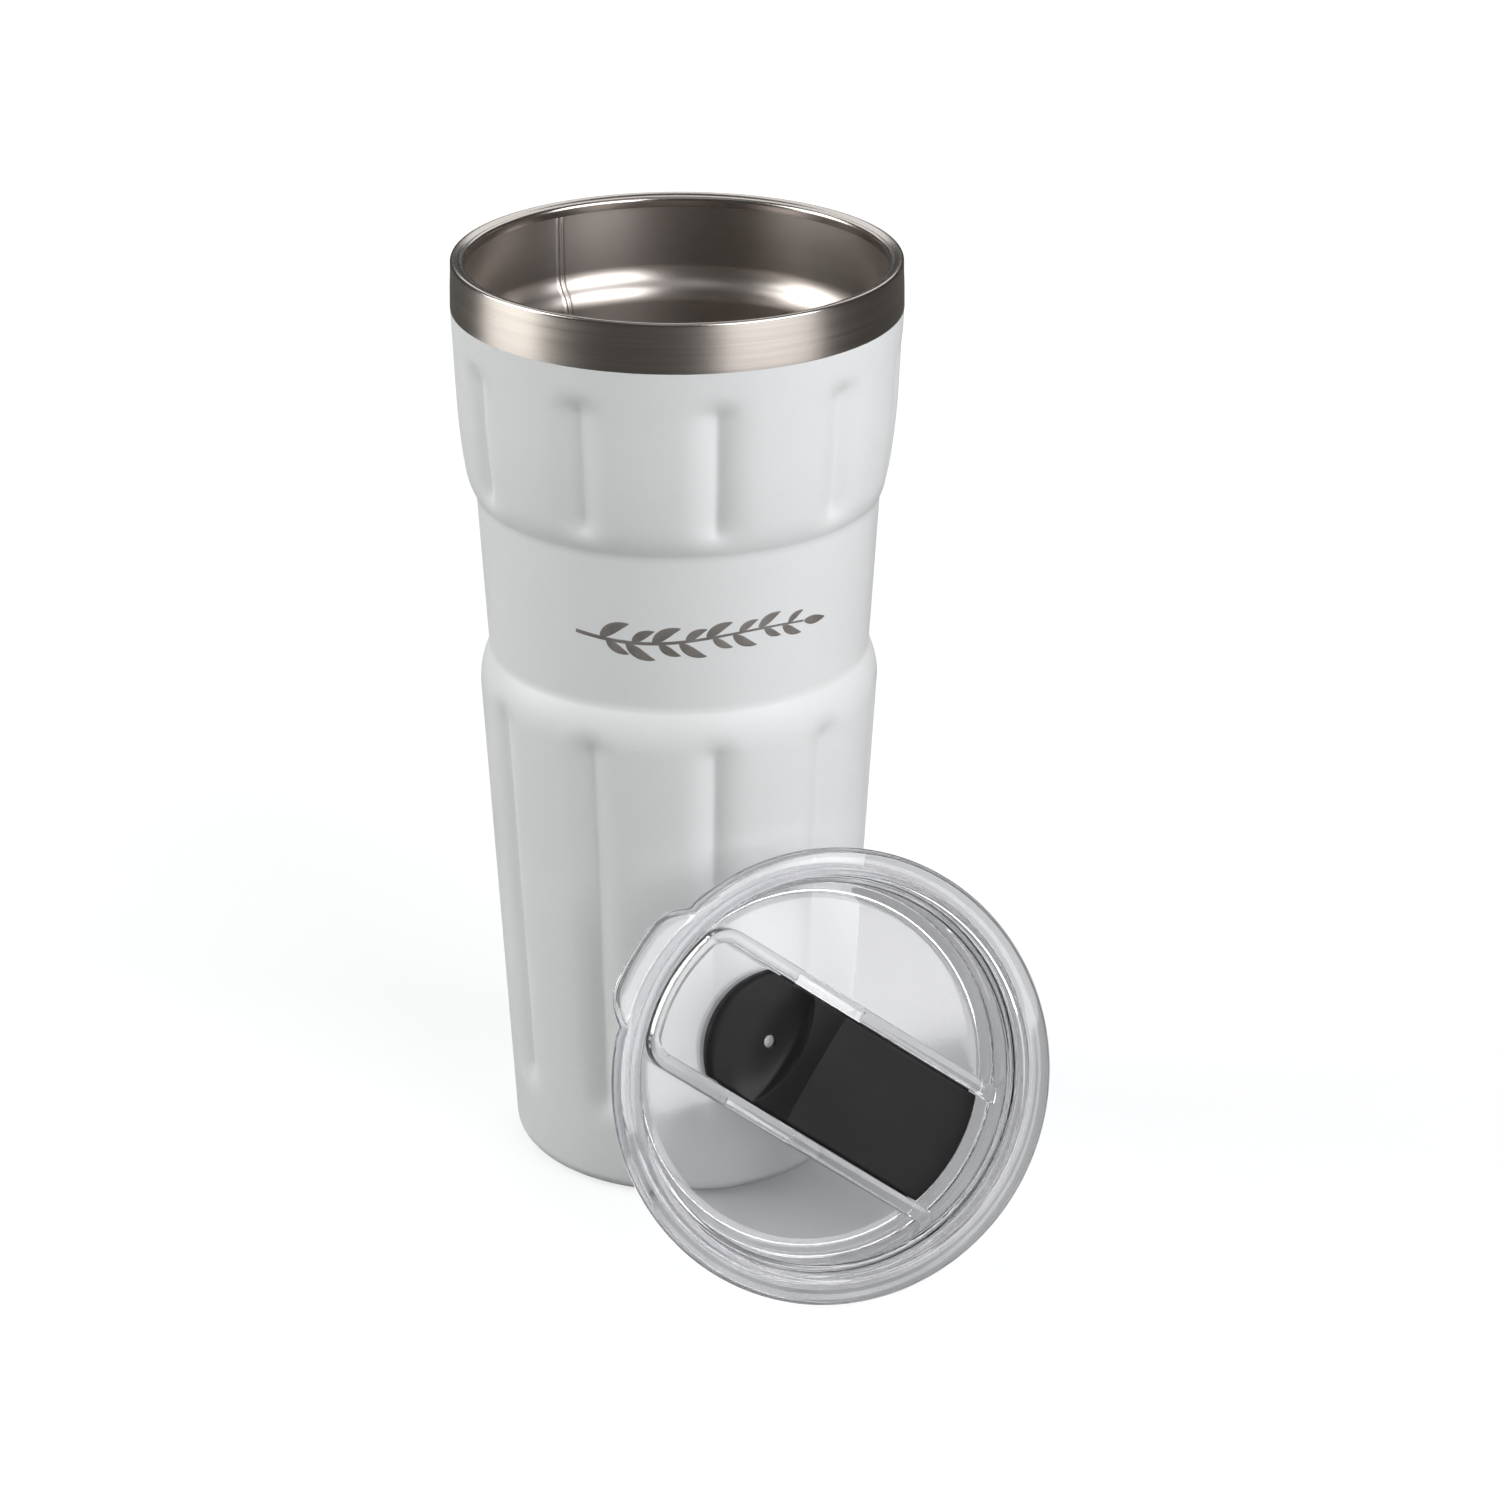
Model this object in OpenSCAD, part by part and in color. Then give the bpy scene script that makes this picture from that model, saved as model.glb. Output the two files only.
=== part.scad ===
// Double-walled insulated tumbler with a press-in clear lid and a sliding drink cover.
// Millimetres, +Z up. The origin is the centre of the tumbler's foot on the table.
// The lid stands beside the tumbler: its rim is on the table and it leans back on the body.

/* [Tumbler] */
// Height from the table to the top of the lip
tumbler_h = 190; // [188:0.5:194]
// Outer radius of the bare steel band at its lower edge
band_r = 44.25; // [44:0.05:44.5]
// Height of the bare steel band, lip included
band_h = 9.7; // [8:0.1:11]
// Outer radius of the lower body, taken down its cone to the table
base_r = 34.6; // [34.3:0.1:35]
// Radius of the rounded edge round the foot
foot_fillet = 3.5; // [3:0.1:4]
// Thickness of the outer steel wall
shell_wall = 0.6; // [0.5:0.05:0.7]
// Thickness of the inner steel wall
liner_wall_t = 0.5; // [0.4:0.05:0.6]
// Thickness of the coating
coat_t = 0.3; // [0.2:0.05:0.4]
// Inner radius of the mouth, where the lid's plug goes in
mouth_r = 41.2; // [41:0.05:41.4]

/* [Panels] */
// Number of panels round the body
panel_count = 10; // [8:1:12]
// Depth of the valley between two panels
valley_depth = 1.3; // [0.8:0.1:1.5]
// Radius of the valley's section
valley_r = 6; // [4:0.5:8]
// Turn of the first valley from the front, towards +X
valley_turn = 10; // [0:1:36]

/* [Lid] */
// Outer radius of the lid's flange
flange_r = 44.8; // [44.6:0.1:45.2]
// Thickness of the flange, whose edge is a full round
flange_t = 3; // [2.6:0.1:3.2]
// Depth of the recess floor below the flange's top
recess_depth = 15; // [14.5:0.1:15.5]
// Overall height of the lid
lid_h = 18; // [17.6:0.1:18.2]
// How far the pull tab stands out of the flange
tab_reach = 3.2; // [2:0.1:4]

/* [Slider] */
// Width of the sliding drink cover
slider_w = 24.2; // [23.8:0.1:24.4]
// Travel of the drink cover from shut to open
slider_travel = 9; // [8:0.5:9]
// Radius of the vent hole through the cover
vent_r = 1.35; // [1:0.05:1.5]

/* [Lid at rest] */
// Lean of the lid back from upright, in degrees
lid_lean = 20.5; // [20.5:0.1:21]
// Turn of the lid's face from the front, towards +X
lid_turn = 16.6; // [16:0.1:17]
// Turn of the slider's track in the lid's own plane
track_turn = -37.9; // [-60:0.1:0]

/* [Hidden] */
$fn = 96;

// Points of an arc round c, from angle a0 to a1
function arc(c, r, a0, a1, n = 12) =
    [for (i = [0:n]) let (a = a0 + (a1 - a0) * i / n) c + r * [cos(a), sin(a)]];

// Outer body: three cones joined by round steps. Slopes are radius gained per height.
lower_slope = 0.0545;
waist_slope = 0.0569;
upper_slope = 0.041;
lower_top_z = tumbler_h - 89;
shoulder_r = 16.6;
band_z = tumbler_h - band_h;
upper_cone_z = tumbler_h - 27.3;
swell_r = 140;
swell_turn = 6;
tuck_r = 15.7;
waist_mid_z = tumbler_h - 65;
waist_mid_r = 39.1;

function lower_r(z) = base_r + lower_slope * z;
function waist_r(z) = waist_mid_r + waist_slope * (z - waist_mid_z);
function upper_r(z) = band_r + upper_slope * (z - band_z);

lower_tilt = atan(lower_slope);
upper_tilt = atan(upper_slope);
shoulder_c = [lower_r(lower_top_z) - shoulder_r * cos(lower_tilt),
              lower_top_z + shoulder_r * sin(lower_tilt)];
swell_c = [upper_r(upper_cone_z) - swell_r * cos(upper_tilt),
           upper_cone_z + swell_r * sin(upper_tilt)];
swell_end = swell_c + swell_r * [cos(upper_tilt + swell_turn), -sin(upper_tilt + swell_turn)];
tuck_c = swell_end - tuck_r * [cos(upper_tilt + swell_turn), -sin(upper_tilt + swell_turn)];
// Where the two round steps run into the waist's cone
shoulder_end = 27.7;
tuck_end = 31;

fillet_c = [lower_r(foot_fillet) - foot_fillet, foot_fillet];

// Side of the body from the foot to the steel band, moved in by t
function side(t, foot_angle) = concat(
    arc(fillet_c, foot_fillet - t, foot_angle, -lower_tilt),
    [for (p = concat(arc(shoulder_c, shoulder_r, -lower_tilt, shoulder_end),
                     arc(tuck_c, tuck_r, -tuck_end, -upper_tilt - swell_turn),
                     arc(swell_c, swell_r, -upper_tilt - swell_turn, -upper_tilt),
                     [[band_r, band_z]])) p - [t, 0]]);

// Lip: two quarter rounds with a narrow flat between them
lip_r = 1.3;
lip_z = tumbler_h - lip_r;
lip_out_r = mouth_r + 2.85;
weld_z = tumbler_h - 2.5;
foot_inner_r = 29;

// Liner: straight mouth, an S-shaped step, then a long cone down to the floor
step_top_z = tumbler_h - 14.5;
step_drop = 7.5;
step_in = 2.9;
step_turn = 2 * atan(step_in / step_drop);
step_r = step_drop / (2 * sin(step_turn));
liner_slope = 0.052;
floor_z = 10;
floor_fillet = 6;
liner_cone_r = mouth_r - step_in;
liner_cone_z = step_top_z - step_drop;
liner_join_z = floor_z + floor_fillet;
liner_join_r = liner_cone_r - liner_slope * (liner_cone_z - liner_join_z);

function liner_side(t) = [for (p = concat(
    [[mouth_r, weld_z]],
    arc([mouth_r - step_r, step_top_z], step_r, 0, -step_turn, 8),
    arc([liner_cone_r + step_r, liner_cone_z], step_r, 180 - step_turn, 180, 8),
    [[liner_join_r, liner_join_z]])) p + [t, 0]];

// Base
plate_rim_r = 31.2;
plate_rise_z = 4.5;
plate_t = 0.6;
plate_hole_r = 0.8;
foot_flange_t = coat_t + shell_wall;
getter_x = 14;
getter_r = 4;
getter_h = 2;

// Lid section, in the lid's own frame: z = 0 is the flange's top, -z goes into the recess
bead_r = flange_t / 2;
flange_in_r = 39.4;
wall_r = 37.5;
floor_round = 3.6;
floor_t = 2;
plug_r = 40.8;
groove_r = 39.3;
groove_top = -5.2;
groove_low = -8.4;
rail_w = 3;
rail_h = 4;
track_half = slider_w / 2 + 0.3;
track_end_r = 33;
track_corner = 3.5;
slider_end_r = 33.9;
nose_r = 16.6;
nose_x = -7.2;
slider_low = -recess_depth + 0.3;
slider_t = 2.7;
slider_top = slider_low + slider_t;
vent_x = -11.3;
tongue_out = 0.7;
scoop_r = 21.8;
scoop_x = -26.7;
scoop_tilt = 5;
ridge_x = 0.8;
ridge_h = 1.2;
ridge_run = 9.7;
seal_low = -recess_depth + 0.1;
seal_t = 0.7;

// The lid's place: the round edge of its flange just meets the table
lid_x = 30.1;
lid_y = -62.5;
lid_z = (flange_r - bead_r) * cos(lid_lean) + bead_r + bead_r * sin(lid_lean);

module place_lid() {
    translate([lid_x, lid_y, lid_z])
        rotate([0, 0, lid_turn])
            rotate([90 - lid_lean, 0, 0])
                rotate([0, 0, track_turn])
                    children();
}

// Cutters for the valleys, grown by t so that each wall keeps its thickness
module valleys(t) {
    cut_off = valley_r - valley_depth;
    low_z = 18;
    up_z0 = tumbler_h - 48;
    up_z1 = tumbler_h - 23;
    up_tilt = upper_tilt + 1.6;
    for (i = [0:panel_count - 1])
        rotate([0, 0, valley_turn - 90 + i * 360 / panel_count]) {
            translate([lower_r(low_z) + cut_off, 0, low_z])
                rotate([0, lower_tilt, 0]) {
                    cylinder(r = valley_r + t, h = lower_top_z + 10 - low_z);
                    sphere(r = valley_r + t);
                }
            translate([upper_r(up_z1) - 0.3 + cut_off, 0, up_z1])
                rotate([0, up_tilt, 0]) {
                    translate([0, 0, up_z0 - up_z1]) cylinder(r = valley_r + t, h = up_z1 - up_z0);
                    sphere(r = valley_r + t);
                }
        }
}

// The coated body as a solid, its surface moved in by t
module body_solid(t, foot_angle, low_z, top_z) {
    pts = side(t, foot_angle);
    difference() {
        rotate_extrude()
            polygon(concat([[0, low_z], [pts[0][0], low_z]], pts,
                           [[band_r - t, top_z], [0, top_z]]));
        valleys(t);
    }
}

module outer_shell() {
    outline = concat(
        [[0, 0], [fillet_c[0], 0]], side(coat_t, -90),
        [[band_r, band_z]],
        arc([lip_out_r - lip_r, lip_z], lip_r, 0, 90, 8),
        arc([mouth_r + lip_r, lip_z], lip_r, 90, 180, 8),
        [[mouth_r, weld_z], [0, weld_z]]);
    inner_lip = lip_r - shell_wall;
    void_outline = concat(
        [[0, -1], [foot_inner_r, -1], [foot_inner_r, foot_flange_t]],
        side(foot_flange_t, -90),
        arc([lip_out_r - lip_r, lip_z], inner_lip, 0, 90, 8),
        arc([mouth_r + lip_r, lip_z], inner_lip, 90, 180, 8),
        [[mouth_r + shell_wall, weld_z], [0, weld_z]]);
    color("silver")
        difference() {
            rotate_extrude() polygon(outline);
            valleys(coat_t);
            difference() {
                rotate_extrude() polygon(void_outline);
                valleys(foot_flange_t);
            }
        }
}

module powder_coat() {
    color("whitesmoke")
        difference() {
            body_solid(0, -75, foot_fillet * (1 - sin(75)), band_z);
            body_solid(coat_t, -75, -1, band_z + 1);
        }
}

module liner_wall() {
    inner = liner_side(0);
    outer = liner_side(liner_wall_t);
    color("silver")
        rotate_extrude()
            polygon(concat(inner, [for (i = [len(outer) - 1:-1:0]) outer[i]]));
}

module liner_floor() {
    c = [liner_join_r - floor_fillet, liner_join_z];
    color("silver")
        rotate_extrude()
            polygon(concat(
                [[0, floor_z - liner_wall_t]],
                arc(c, floor_fillet + liner_wall_t, -90, 0),
                arc(c, floor_fillet, 0, -90),
                [[0, floor_z]]));
}

module base_plate() {
    color("silver")
        rotate_extrude()
            polygon([
                [plate_hole_r, plate_rise_z], [24.5, plate_rise_z], [27, foot_flange_t],
                [plate_rim_r, foot_flange_t], [plate_rim_r, foot_flange_t + plate_t],
                [27.4, foot_flange_t + plate_t], [24.9, plate_rise_z + plate_t],
                [plate_hole_r, plate_rise_z + plate_t]]);
}

module getter() {
    color("dimgray")
        translate([getter_x, 0, plate_rise_z + plate_t]) cylinder(r = getter_r, h = getter_h);
}

module getter_clip() {
    half = getter_r + 0.3;
    foot = 2;
    t = 0.4;
    low = plate_rise_z + plate_t;
    top = low + getter_h;
    color("silver")
        translate([getter_x, 1.5, 0])
            rotate([90, 0, 0])
                linear_extrude(3)
                    polygon([
                        [-half - foot, low], [-half, low], [-half, top], [half, top],
                        [half, low], [half + foot, low], [half + foot, low + t],
                        [half + t, low + t], [half + t, top + t], [-half - t, top + t],
                        [-half - t, low + t], [-half - foot, low + t]]);
}

module solder_seal() {
    head_r = 3;
    color("gray")
        rotate_extrude()
            polygon(concat(
                [[0, plate_rise_z - 1]],
                arc([0, plate_rise_z + 4], 5, -90, -90 + asin(head_r / 5), 6),
                [[head_r, plate_rise_z], [plate_hole_r, plate_rise_z],
                 [plate_hole_r, plate_rise_z + plate_t], [0, plate_rise_z + plate_t]]));
}

module base_cover() {
    color("silver") cylinder(r = foot_inner_r - 0.05, h = foot_flange_t);
}

// Plan of the track that the drink cover runs in: open at +x, round-cornered at -x
module track_plan() {
    corner_y = track_half - track_corner;
    corner_x = -sqrt(pow(track_end_r - track_corner, 2) - corner_y * corner_y);
    intersection() {
        circle(r = track_end_r);
        translate([-track_end_r, -corner_y]) square([track_end_r, 2 * corner_y]);
    }
    translate([corner_x, -track_half]) square([80, 2 * track_half]);
    for (s = [-1, 1]) translate([corner_x, s * corner_y]) circle(r = track_corner);
}

// Pull tab: its edge swells out of the flange's circle and back
function swell(x) = let (c = min(max(x, 0), 1)) c * c * (3 - 2 * c);
function tab_r(a) = flange_r - 0.6 + (tab_reach + 0.6) * swell((14.6 - abs(a)) / 5.6);

module tab() {
    translate([0, 0, -flange_t])
        linear_extrude(flange_t)
            polygon(concat(
                [for (a = [-15:0.5:15]) -tab_r(a) * [cos(a), sin(a)]],
                [for (a = [15:-5:-15]) -(flange_r - 3) * [cos(a), sin(a)]]));
}

// Slot that the drink comes out of, inside the cover's end at rest and clear of it when open
module drink_slot() {
    translate([0, 0, -lid_h])
        linear_extrude(lid_h - recess_depth + 1)
            difference() {
                intersection() {
                    circle(r = slider_end_r - 1.4);
                    translate([20, -9]) square([20, 18]);
                }
                translate([-slider_travel, 0]) circle(r = slider_end_r + 0.2);
            }
}

module lid_shell() {
    section = concat(
        [[0, -recess_depth]],
        arc([wall_r - floor_round, -recess_depth + floor_round], floor_round, -90, 0, 8),
        [[wall_r + 0.2, -6.2], [38.6, -5.2], [flange_in_r - 0.15, -4.4]],
        arc([flange_in_r + 0.6, -0.6], 0.6, 180, 90, 4),
        arc([flange_r - bead_r, -bead_r], bead_r, 90, -90, 12),
        [[plug_r, -flange_t], [plug_r, groove_top], [groove_r, groove_top],
         [groove_r, groove_low], [plug_r - 0.2, groove_low], [plug_r - 0.3, -10]],
        arc([37.4, -lid_h + 1.8], 1.8, 0, -90, 6),
        [[36.2, -lid_h], [35.6, -recess_depth - floor_t], [0, -recess_depth - floor_t]]);
    color([0.85, 0.87, 0.9, 0.4])
        place_lid()
            difference() {
                union() {
                    rotate_extrude() polygon(section);
                    tab();
                    translate([0, 0, -recess_depth - 0.5])
                        linear_extrude(rail_h + 0.5)
                            difference() {
                                intersection() {
                                    union() {
                                        circle(r = track_end_r + 2);
                                        translate([0, -20]) square(40);
                                    }
                                    circle(r = wall_r + 0.1);
                                    square([90, 2 * (track_half + rail_w)], center = true);
                                }
                                track_plan();
                            }
                }
                drink_slot();
                translate([vent_x - slider_travel, 0, -lid_h - 1])
                    cylinder(r = vent_r, h = lid_h - recess_depth + 2);
                // grooves in the rails for the cover's tongues
                for (s = [-1, 1])
                    translate([-28, s * track_half - 0.7, slider_low + 0.7])
                        cube([61, 1.4, 1.2]);
            }
}

module lid_gasket() {
    lip = mouth_r + 0.1;
    top = groove_top;
    low = groove_low;
    color([0.9, 0.9, 0.92, 0.6])
        place_lid()
            rotate_extrude()
                polygon([
                    [groove_r, low], [40.3, low], [40.5, low + 0.4], [lip, low + 0.7],
                    [lip, low + 0.9], [40.5, low + 1.2], [40.5, top - 1.2],
                    [lip, top - 0.9], [lip, top - 0.7], [40.5, top - 0.4],
                    [40.3, top], [groove_r, top]]);
}

// Plan of the drink cover: a round nose at -x and an end that follows the lid's wall at +x
module slider_plan() {
    intersection() {
        square([100, slider_w], center = true);
        union() {
            translate([nose_x, 0]) circle(r = nose_r);
            intersection() {
                circle(r = slider_end_r);
                translate([nose_x, -20]) square(60);
            }
            translate([nose_x, -slider_w / 2]) square([20, slider_w]);
        }
    }
}

module seal_plan() {
    intersection() {
        circle(r = slider_end_r - 0.7);
        translate([22.4, -10.5]) square([20, 21]);
    }
}

module slider() {
    color([0.17, 0.17, 0.18])
        place_lid()
            difference() {
                union() {
                    translate([0, 0, slider_low]) linear_extrude(slider_t) slider_plan();
                    // ridge for the thumb
                    translate([0, slider_w / 2, 0])
                        rotate([90, 0, 0])
                            linear_extrude(slider_w)
                                polygon([
                                    [ridge_x - ridge_run, slider_top - 0.5],
                                    [ridge_x, slider_top - 0.5], [ridge_x, slider_top],
                                    [ridge_x - ridge_run, slider_top + ridge_h]]);
                    // tongues that run in the rails
                    for (s = [-1, 1])
                        translate([-16, s * slider_w / 2 - tongue_out / 2, slider_low + 0.9])
                            cube([46, tongue_out, 0.8]);
                }
                translate([scoop_x, 0, slider_top])
                    rotate([0, scoop_tilt, 0])
                        cylinder(r = scoop_r, h = 10);
                translate([vent_x, 0, slider_low - 1]) cylinder(r = vent_r, h = slider_t + 4);
                translate([0, 0, slider_low - 1])
                    linear_extrude(1 + seal_low + seal_t - slider_low) seal_plan();
            }
}

module slider_seal() {
    color([0.8, 0.8, 0.82])
        place_lid()
            translate([0, 0, seal_low]) linear_extrude(seal_t) seal_plan();
}

outer_shell();
powder_coat();
liner_wall();
liner_floor();
base_plate();
getter();
getter_clip();
solder_seal();
base_cover();
lid_shell();
lid_gasket();
slider();
slider_seal();
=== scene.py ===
import math

import bmesh
import bpy
import numpy as np
from mathutils import Matrix, Vector


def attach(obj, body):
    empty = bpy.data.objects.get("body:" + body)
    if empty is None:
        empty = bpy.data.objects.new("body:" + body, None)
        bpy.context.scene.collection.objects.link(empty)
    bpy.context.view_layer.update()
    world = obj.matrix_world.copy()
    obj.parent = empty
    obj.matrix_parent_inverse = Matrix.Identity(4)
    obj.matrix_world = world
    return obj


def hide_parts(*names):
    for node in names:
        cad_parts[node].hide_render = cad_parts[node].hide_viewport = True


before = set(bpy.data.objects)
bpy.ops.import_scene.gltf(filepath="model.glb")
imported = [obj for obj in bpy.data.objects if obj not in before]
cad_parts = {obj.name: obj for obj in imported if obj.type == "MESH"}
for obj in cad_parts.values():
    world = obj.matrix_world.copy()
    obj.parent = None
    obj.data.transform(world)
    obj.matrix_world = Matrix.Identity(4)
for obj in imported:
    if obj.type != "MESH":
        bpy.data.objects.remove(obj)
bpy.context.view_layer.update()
scene = bpy.context.scene
# Sections are drawn in millimetres, and a finished mesh is in metres.
MM = 0.001


# ---------------------------------------------------------------- helpers
def arc(c, r, a0, a1, n):
    """n + 1 points of an arc round c from a0 to a1 degrees."""
    angles = np.radians(np.linspace(a0, a1, n + 1))
    return [(c[0] + r * math.cos(a), c[1] + r * math.sin(a)) for a in angles]


def smooth(x):
    """0 below 0, 1 above 1, and an even swing between."""
    x = np.clip(x, 0.0, 1.0)
    return x * x * (3 - 2 * x)


def fill_in(points, gap):
    """Adds points so that no step along the line is longer than gap, and drops repeated ones."""
    out = [points[0]]
    for p, q in zip(points, points[1:]):
        step = math.dist(p, q)
        if step < 1e-6:
            continue
        n = max(1, math.ceil(step / gap))
        out += [(p[0] + (q[0] - p[0]) * i / n, p[1] + (q[1] - p[1]) * i / n) for i in range(1, n + 1)]
    return out


def lathe(section, phis, shift=None, closed=True):
    """Vertices and faces of a section of (r, z) points turned round Z, with a column at each angle of phis.

    shift(r, z, phi) gives the moved r and z. The faces of an open section meet where it ends on the axis.
    """
    section = np.array(section, float)
    n, m = len(section), len(phis)
    r = np.repeat(section[:, :1], m, 1)
    z = np.repeat(section[:, 1:], m, 1)
    phi = np.repeat(np.array(phis)[None, :], n, 0)
    if shift is not None:
        r, z = shift(r, z, phi)
    verts = np.stack([r * np.cos(phi), r * np.sin(phi), z], -1).reshape(-1, 3)
    columns = np.arange(m)
    pairs = list(zip(columns, (columns + 1) % m))
    on_axis = set()
    if not closed:
        on_axis = {end for end in (0, n - 1) if section[end, 0] < 1e-6}
    faces = []
    for i in range(n if closed else n - 1):
        j = (i + 1) % n
        if i in on_axis:
            faces += [(i * m, j * m + b, j * m + a) for a, b in pairs]
        elif j in on_axis:
            faces += [(i * m + a, i * m + b, j * m) for a, b in pairs]
        else:
            faces += [(i * m + a, i * m + b, j * m + b, j * m + a) for a, b in pairs]
    return verts, faces


def bare_object(name, verts, faces):
    """A mesh object without loose vertices, its normals turned outwards."""
    mesh = bpy.data.meshes.new(name)
    mesh.from_pydata([tuple(v) for v in verts], [], [tuple(f) for f in faces])
    mesh.update()
    bm = bmesh.new()
    bm.from_mesh(mesh)
    loose = [v for v in bm.verts if not v.link_faces]
    bmesh.ops.delete(bm, geom=loose, context="VERTS")
    bmesh.ops.recalc_face_normals(bm, faces=bm.faces)
    bm.to_mesh(mesh)
    bm.free()
    ob = bpy.data.objects.new(name, mesh)
    scene.collection.objects.link(ob)
    return ob


def dress(ob, body, material, angle):
    """Gives a finished mesh its body, slot and material. Edges sharper than angle stay sharp."""
    ob.data.polygons.foreach_set("use_smooth", [True] * len(ob.data.polygons))
    ob.data.set_sharp_from_angle(angle=math.radians(angle))
    ob.data.update()
    ob.data.materials.clear()
    ob.data.materials.append(material)
    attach(ob, body)
    return ob


# ---------------------------------------------------------------- materials
class Tree:
    """The node tree of a material or a world, while it is put together."""

    def __init__(self, owner, output="ShaderNodeOutputMaterial"):
        self.owner = owner
        owner.use_nodes = True
        self.nt = owner.node_tree
        self.nt.nodes.clear()
        self.out = self.nt.nodes.new(output)

    def add(self, kind, props=None, **inputs):
        n = self.nt.nodes.new(kind)
        for key, value in (props or {}).items():
            setattr(n, key, value)
        for key, value in inputs.items():
            self.set(n, key.replace("_", " "), value)
        return n

    def set(self, n, key, value):
        """Links a socket, or sets a plain value, on the input of that name or number."""
        socket = n.inputs[key]
        if isinstance(value, bpy.types.NodeSocket):
            self.nt.links.new(value, socket)
        else:
            socket.default_value = value

    def maths(self, operation, a, b):
        n = self.add("ShaderNodeMath", {"operation": operation})
        self.set(n, 0, a)
        self.set(n, 1, b)
        return n.outputs[0]

    def ramp(self, value, lo, hi, a=0.0, b=1.0):
        """a where value is below lo, b where it is above hi, and a smooth step between."""
        n = self.add("ShaderNodeMapRange", {"interpolation_type": "SMOOTHSTEP"}, Value=value,
                     From_Min=lo, From_Max=hi, To_Min=a, To_Max=b)
        return n.outputs["Result"]

    def mix(self, share, a, b):
        """The colour between a and b."""
        n = self.add("ShaderNodeMix", {"data_type": "RGBA"})
        self.set(n, 0, share)
        self.set(n, 6, a)
        self.set(n, 7, b)
        return n.outputs[2]

    def object_place(self):
        return self.add("ShaderNodeTexCoord").outputs["Object"]

    def noise(self, scale, detail=2.0, rough=0.5, stretch=(1, 1, 1), offset=(0, 0, 0)):
        place = self.add("ShaderNodeMapping", None, Vector=self.object_place(), Scale=stretch,
                         Location=offset)
        n = self.add("ShaderNodeTexNoise", None, Vector=place.outputs["Vector"], Scale=scale,
                     Detail=detail, Roughness=rough)
        return n.outputs["Fac"]

    def bump(self, height, strength, distance):
        n = self.add("ShaderNodeBump", None, Height=height, Strength=strength, Distance=distance)
        return n.outputs["Normal"]

    def by_ray(self, ray, usual, special):
        """A shader that is special for one kind of ray, such as "Is Shadow Ray"."""
        path = self.add("ShaderNodeLightPath")
        n = self.add("ShaderNodeMixShader")
        self.set(n, 0, path.outputs[ray])
        self.set(n, 1, usual)
        self.set(n, 2, special)
        return n.outputs[0]

    def done(self, shader):
        self.nt.links.new(shader, self.out.inputs["Surface"])
        return self.owner


def material_tree(name):
    return Tree(bpy.data.materials.new(name))


def coat_material():
    """Satin white powder coat with a fine grain and a soft orange peel."""
    t = material_tree("satin_white_coat")
    tone = t.noise(14.0, 3.0, 0.6)
    speck = t.noise(900.0, 2.0, 0.6)
    base = t.mix(t.ramp(tone, 0.3, 0.7), (0.745, 0.76, 0.752, 1), (0.765, 0.778, 0.772, 1))
    base = t.mix(t.ramp(speck, 0.25, 0.42, 0.35, 0.0), base, (0.70, 0.715, 0.71, 1))
    rough = t.ramp(t.noise(60.0, 3.0, 0.6), 0.3, 0.7, 0.40, 0.50)
    grain = t.noise(2600.0, 2.0, 0.55)
    peel = t.noise(420.0, 1.0, 0.5)
    height = t.maths("ADD", t.maths("MULTIPLY", grain, 0.5), t.maths("MULTIPLY", peel, 0.8))
    p = t.add("ShaderNodeBsdfPrincipled", None, Roughness=rough, Base_Color=base,
              Normal=t.bump(height, 0.10, 0.00012))
    p.inputs["IOR"].default_value = 1.5
    p.inputs["Specular IOR Level"].default_value = 0.45
    return t.done(p.outputs[0])


def steel_material(name, tones, roughs, aniso, streak=1.0):
    """Steel brushed round the axis. Its colour and its roughness each run between the two given."""
    t = material_tree(name)
    fine = t.noise(1.0, 3.0, 0.65, stretch=(55, 55, 9000))
    broad = t.noise(1.0, 2.0, 0.5, stretch=(22, 22, 1500), offset=(3, 1, 7))
    lines = t.maths("ADD", t.maths("MULTIPLY", fine, 0.65), t.maths("MULTIPLY", broad, 0.35))
    round_axis = t.add("ShaderNodeTangent", {"direction_type": "RADIAL", "axis": "Z"})
    p = t.add("ShaderNodeBsdfPrincipled", None, Roughness=t.ramp(lines, 0.3, 0.7, *roughs),
              Base_Color=t.mix(t.ramp(lines, 0.35, 0.65), *tones),
              Normal=t.bump(fine, 0.08 * streak, 0.00008), Tangent=round_axis.outputs[0])
    p.inputs["Metallic"].default_value = 1.0
    p.inputs["Anisotropic"].default_value = aniso
    p.inputs["Anisotropic Rotation"].default_value = 0.25
    return t.done(p.outputs[0])


def shadow_rays_pass(t, shader, colour):
    """Lets shadow rays through a clear shader, dimmed by the colour at each face."""
    clear = t.add("ShaderNodeBsdfTransparent", None, Color=colour)
    return t.by_ray("Is Shadow Ray", shader, clear.outputs[0])


def clear_material():
    """Clear lid plastic. Its shadow rays are dimmed, since the light refracted by it is counted too."""
    t = material_tree("clear_lid_plastic")
    haze = t.noise(35.0, 3.0, 0.6)
    tone = t.mix(t.ramp(haze, 0.3, 0.7), (0.938, 0.94, 0.947, 1), (0.953, 0.955, 0.962, 1))
    p = t.add("ShaderNodeBsdfPrincipled", None, Roughness=t.ramp(haze, 0.35, 0.7, 0.015, 0.05),
              Base_Color=tone, Normal=t.bump(t.noise(55.0, 2.0, 0.5), 0.012, 0.0004))
    p.inputs["IOR"].default_value = 1.49
    p.inputs["Specular IOR Level"].default_value = 0.22
    p.inputs["Transmission Weight"].default_value = 1.0
    return t.done(shadow_rays_pass(t, p.outputs[0], (0.36, 0.36, 0.365, 1)))


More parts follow.
